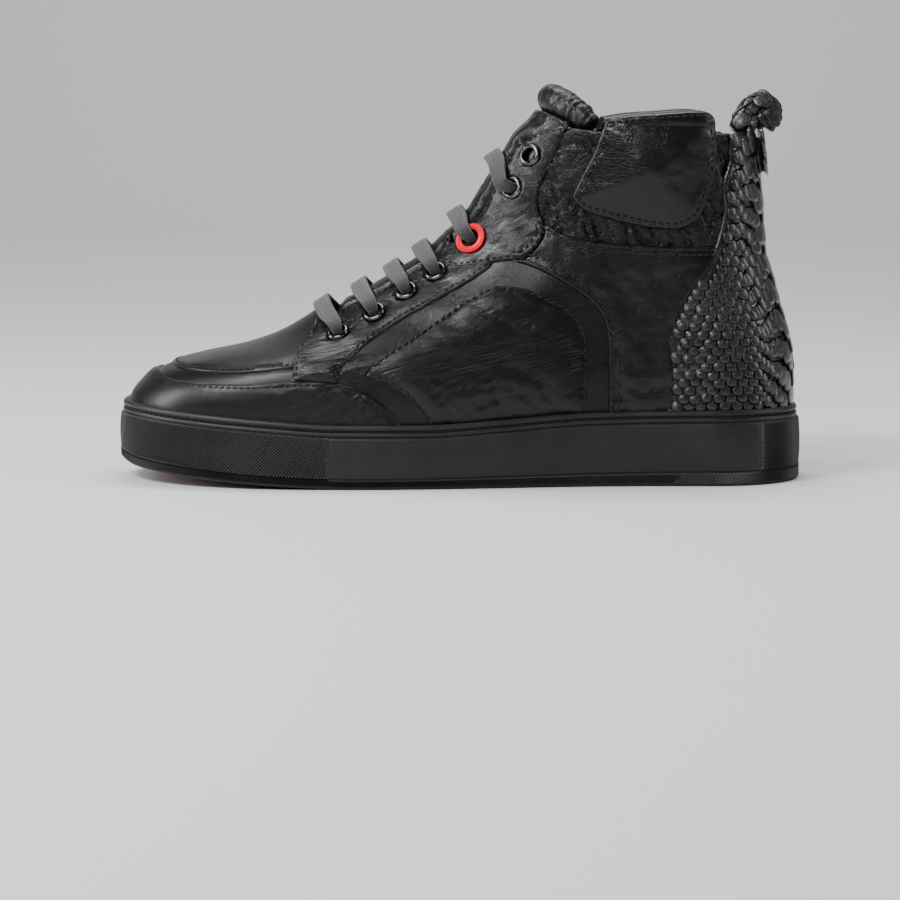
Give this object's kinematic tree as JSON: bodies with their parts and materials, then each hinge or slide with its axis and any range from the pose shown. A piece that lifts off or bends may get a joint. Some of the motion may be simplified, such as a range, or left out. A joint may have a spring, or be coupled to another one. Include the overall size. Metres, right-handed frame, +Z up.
{
  "type": "basketball high top",
  "caption": "High-top basketball shoe for the left foot, with a layered leather upper, padded ankle collar, flat lace, padded tongue and a cupped rubber sole.",
  "frame": {"origin": "centre of the bounding box's bottom face, on the ground under the shoe", "axes": "+X from toe to heel, -Y the outer side of the foot, +Z up"},
  "size_m": [0.3052, 0.1076, 0.1756],
  "materials": {
    "rubber": "matt moulded rubber with a knurled toe and rim",
    "red_rubber": "smooth deep red rubber",
    "leather": "semi-gloss full-grain leather",
    "creased_leather": "heavily creased glossy leather",
    "scaled_leather": "glossy overlapping scales",
    "lining": "soft textile lining",
    "foam": "open foam",
    "board": "pressed fibre board",
    "gunmetal": "polished dark metal",
    "red_enamel": "red anodised metal",
    "lace": "flat woven cotton lace"
  },
  "bodies": {
    "shoe": {"cupsole": "rubber", "tread_forefoot": "red_rubber", "tread_heel": "red_rubber", "midsole_foam": "foam", "insole_board": "board", "footbed": "lining", "mudguard": "leather", "vamp": "leather", "vamp_plug": "leather", "vamp_lining": "lining", "toe_puff": "board", "heel_counter": "board", "heel_panel": "scaled_leather", "backstay": "scaled_leather", "pull_loop_anchor": "scaled_leather", "lace": "lace", "aglet_first": "gunmetal", "aglet_second": "gunmetal", "eyestay_lateral": "leather", "side_frame_lateral": "leather", "side_inset_lateral": "leather", "ankle_facing_lateral": "leather", "rear_quarter_lateral": "leather", "collar_panel_lateral": "creased_leather", "collar_pad_lateral": "leather", "collar_foam_lateral": "foam", "quarter_lining_lateral": "lining", "eyelet_lateral_1": "gunmetal", "eyelet_lateral_2": "gunmetal", "eyelet_lateral_3": "gunmetal", "eyelet_lateral_4": "gunmetal", "eyelet_lateral_5": "red_enamel", "eyelet_lateral_6": "gunmetal", "eyelet_lateral_7": "gunmetal", "eyestay_medial": "leather", "side_frame_medial": "leather", "side_inset_medial": "leather", "ankle_facing_medial": "leather", "rear_quarter_medial": "leather", "collar_panel_medial": "creased_leather", "collar_pad_medial": "leather", "collar_foam_medial": "foam", "quarter_lining_medial": "lining", "eyelet_medial_1": "gunmetal", "eyelet_medial_2": "gunmetal", "eyelet_medial_3": "gunmetal", "eyelet_medial_4": "gunmetal", "eyelet_medial_5": "red_enamel", "eyelet_medial_6": "gunmetal", "eyelet_medial_7": "gunmetal"},
    "tongue_body": {"tongue": "leather", "tongue_roll": "leather"},
    "loop_body": {"pull_loop": "scaled_leather"}
  },
  "joints": [
    {"name": "tongue_hinge", "type": "hinge", "parent": "shoe", "child": "tongue_body", "pos_m": [-0.07, 0, 0.06], "axis": [0, 1, 0], "range_deg": [0, 6], "stiffness_Nm_per_rad": 1.5},
    {"name": "pull_loop_hinge", "type": "hinge", "parent": "shoe", "child": "loop_body", "pos_m": [0.1295, 0, 0.148], "axis": [0, 1, 0], "range_deg": [-9, 15], "stiffness_Nm_per_rad": 0.3}
  ]
}
